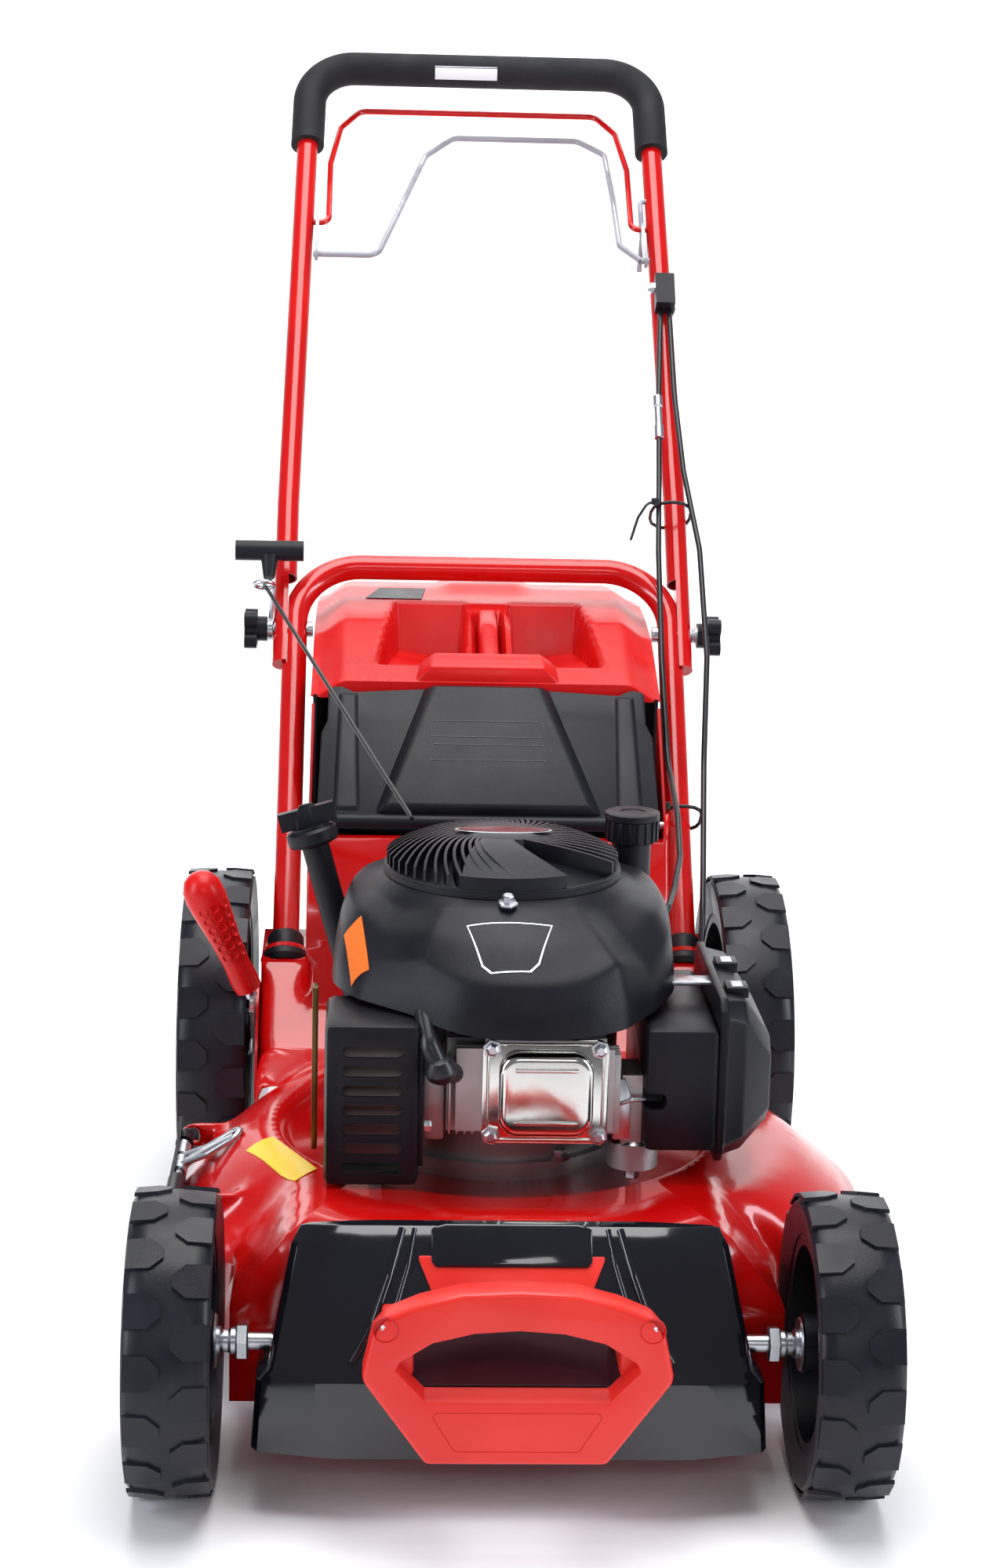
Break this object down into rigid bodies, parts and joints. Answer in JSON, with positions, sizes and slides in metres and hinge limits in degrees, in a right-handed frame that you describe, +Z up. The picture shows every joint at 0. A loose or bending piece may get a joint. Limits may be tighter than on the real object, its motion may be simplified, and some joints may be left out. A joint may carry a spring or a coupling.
{
  "type": "lawn mower",
  "caption": "Self-propelled petrol walk-behind lawn mower with pressed steel deck, folding tube handle, starter pull, grass box and side discharge flap.",
  "frame": {"origin": "the ground point under the crankshaft axis", "axes": "+Z up, -Y towards the front of the mower, +X to the operator's left"},
  "size_m": [0.532, 1.2581, 0.976],
  "materials": {
    "red_enamel": "gloss",
    "red_plastic": "satin",
    "black_moulding": "fine grain",
    "gloss_black": "gloss",
    "tyre_rubber": "matt",
    "foam": "closed-cell foam",
    "zinc_steel": "zinc plated",
    "grey_wire": "gloss",
    "cast_alloy": "as cast",
    "pressed_chrome": "bright",
    "blade_steel": "satin black",
    "iron": "machined",
    "cable_sheath": "smooth"
  },
  "bodies": {
    "chassis": {"deck_shell": "red_enamel", "height_quadrant": "zinc_steel", "side_hinge": "zinc_steel", "front_cover": "gloss_black", "front_bumper": "red_plastic", "lower_handle": "red_enamel", "handle_bolts": "zinc_steel", "crankcase": "cast_alloy", "cylinder_head": "cast_alloy", "valve_cover": "pressed_chrome", "plug_boot": "cable_sheath", "muffler": "zinc_steel", "muffler_guard": "blade_steel", "carburettor": "cast_alloy", "air_box": "black_moulding", "engine_cowl": "black_moulding", "recoil_cover": "black_moulding", "fuel_tank": "black_moulding", "oil_tube": "black_moulding", "control_cables": "cable_sheath", "starter_rope": "cable_sheath"},
    "front_axle": {"front_axle": "zinc_steel"},
    "rear_axle": {"rear_carriage": "zinc_steel", "gearbox": "cast_alloy", "drive_axle": "zinc_steel", "height_lever": "blade_steel", "height_grip": "red_plastic"},
    "link_rod": {"height_rod": "zinc_steel"},
    "cutter": {"blade": "blade_steel", "blade_bolt": "zinc_steel", "blade_adapter": "iron", "crankshaft": "iron", "flywheel": "cast_alloy"},
    "starter_spool": {"starter_pulley": "black_moulding"},
    "pull_handle": {"pull_grip": "black_moulding"},
    "upper_frame": {"upper_handle": "red_enamel", "foam_grip": "foam", "cable_bracket": "black_moulding", "rope_eye": "zinc_steel"},
    "brake_lever": {"brake_bail": "red_enamel"},
    "drive_lever": {"drive_bail": "grey_wire"},
    "knob_left": {"knob_left": "black_moulding"},
    "knob_right": {"knob_right": "black_moulding"},
    "flap": {"rear_flap": "black_moulding"},
    "grass_box": {"grass_box_lid": "red_plastic", "grass_box_body": "black_moulding"},
    "chute_door": {"side_flap": "black_moulding"},
    "filler_cap": {"fuel_cap": "black_moulding"},
    "oil_stick": {"dipstick": "black_moulding"},
    "air_door": {"air_cover": "black_moulding"},
    "wheel_front_left": {"tyre_front_left": "tyre_rubber", "rim_front_left": "black_moulding"},
    "wheel_front_right": {"tyre_front_right": "tyre_rubber", "rim_front_right": "black_moulding"},
    "wheel_rear_left": {"tyre_rear_left": "tyre_rubber", "rim_rear_left": "black_moulding"},
    "wheel_rear_right": {"tyre_rear_right": "tyre_rubber", "rim_rear_right": "black_moulding"}
  },
  "joints": [
    {"name": "height_adjust", "type": "hinge", "parent": "chassis", "child": "rear_axle", "pos_m": [0, 0.272, 0.1305], "axis": [1, 0, 0], "range_deg": [-30, 30]},
    {"name": "front_axle_turn", "type": "hinge", "parent": "chassis", "child": "front_axle", "pos_m": [0, -0.288, 0.092], "axis": [1, 0, 0], "range_deg": [-31, 31]},
    {"name": "link_rod_turn", "type": "hinge", "parent": "rear_axle", "child": "link_rod", "pos_m": [0, 0.31, 0.14], "axis": [1, 0, 0], "range_deg": [-31, 31]},
    {"name": "wheel_front_left_spin", "type": "hinge", "parent": "front_axle", "child": "wheel_front_left", "pos_m": [0, -0.25, 0.1015], "axis": [1, 0, 0], "continuous": true},
    {"name": "wheel_front_right_spin", "type": "hinge", "parent": "front_axle", "child": "wheel_front_right", "pos_m": [0, -0.25, 0.1015], "axis": [1, 0, 0], "continuous": true},
    {"name": "wheel_rear_left_spin", "type": "hinge", "parent": "rear_axle", "child": "wheel_rear_left", "pos_m": [0, 0.31, 0.14], "axis": [1, 0, 0], "continuous": true},
    {"name": "wheel_rear_right_spin", "type": "hinge", "parent": "rear_axle", "child": "wheel_rear_right", "pos_m": [0, 0.31, 0.14], "axis": [1, 0, 0], "continuous": true},
    {"name": "blade_spin", "type": "hinge", "parent": "chassis", "child": "cutter", "pos_m": [0, 0, 0.1], "axis": [0, 0, 1], "continuous": true},
    {"name": "handle_fold", "type": "hinge", "parent": "chassis", "child": "upper_frame", "pos_m": [0, 0.45919, 0.46478], "axis": [1, 0, 0], "range_deg": [0, 128], "deforming": ["control_cables", "starter_rope"]},
    {"name": "starter_pull", "type": "slide", "parent": "upper_frame", "child": "pull_handle", "axis": [0, 0.5, 0.866], "range_m": [0, 0.45], "stiffness_N_per_m": 40, "springref_m": -0.2, "deforming": ["starter_rope"]},
    {"name": "starter_spool_turn", "type": "hinge", "parent": "chassis", "child": "starter_spool", "pos_m": [0, 0, 0.37], "axis": [0, 0, 1], "range_deg": [-10, 760]},
    {"name": "brake_bail_swing", "type": "hinge", "parent": "upper_frame", "child": "brake_lever", "pos_m": [0, 0.74297, 0.81273], "axis": [1, 0, 0], "range_deg": [0, 8.5], "stiffness_Nm_per_rad": 1.2, "springref_deg": -34.38},
    {"name": "drive_bail_swing", "type": "hinge", "parent": "upper_frame", "child": "drive_lever", "pos_m": [0, 0.74297, 0.81273], "axis": [1, 0, 0], "range_deg": [0, 18], "stiffness_Nm_per_rad": 1, "springref_deg": -34.38},
    {"name": "knob_left_turn", "type": "hinge", "parent": "chassis", "child": "knob_left", "pos_m": [0, 0.45919, 0.46478], "axis": [1, 0, 0], "continuous": true},
    {"name": "knob_right_turn", "type": "hinge", "parent": "chassis", "child": "knob_right", "pos_m": [0, 0.45919, 0.46478], "axis": [1, 0, 0], "continuous": true},
    {"name": "rear_flap_lift", "type": "hinge", "parent": "chassis", "child": "flap", "pos_m": [0, 0.25, 0.34], "axis": [1, 0, 0], "range_deg": [0, 28]},
    {"name": "grass_box_pull", "type": "slide", "parent": "chassis", "child": "grass_box", "axis": [0, 0.9781, 0.2079], "range_m": [0, 0.32]},
    {"name": "chute_door_lift", "type": "hinge", "parent": "chassis", "child": "chute_door", "pos_m": [-0.234, 0, 0.139], "axis": [0, 1, 0], "range_deg": [0, 90], "stiffness_Nm_per_rad": 0.4, "springref_deg": -28.65},
    {"name": "fuel_cap_lift", "type": "slide", "parent": "chassis", "child": "filler_cap", "axis": [0, 0, 1], "range_m": [0, 0.04]},
    {"name": "dipstick_pull", "type": "slide", "parent": "chassis", "child": "oil_stick", "axis": [-0.2753, 0.0499, 0.9601], "range_m": [0, 0.07]},
    {"name": "air_cover_pull", "type": "slide", "parent": "chassis", "child": "air_door", "axis": [1, 0, 0], "range_m": [0, 0.06]}
  ],
  "couplings": [
    {"joint": "front_axle_turn", "follows": "height_adjust", "ratio": 1},
    {"joint": "link_rod_turn", "follows": "height_adjust", "ratio": -1},
    {"joint": "starter_spool_turn", "follows": "starter_pull", "rad_per_m": 28.571}
  ]
}
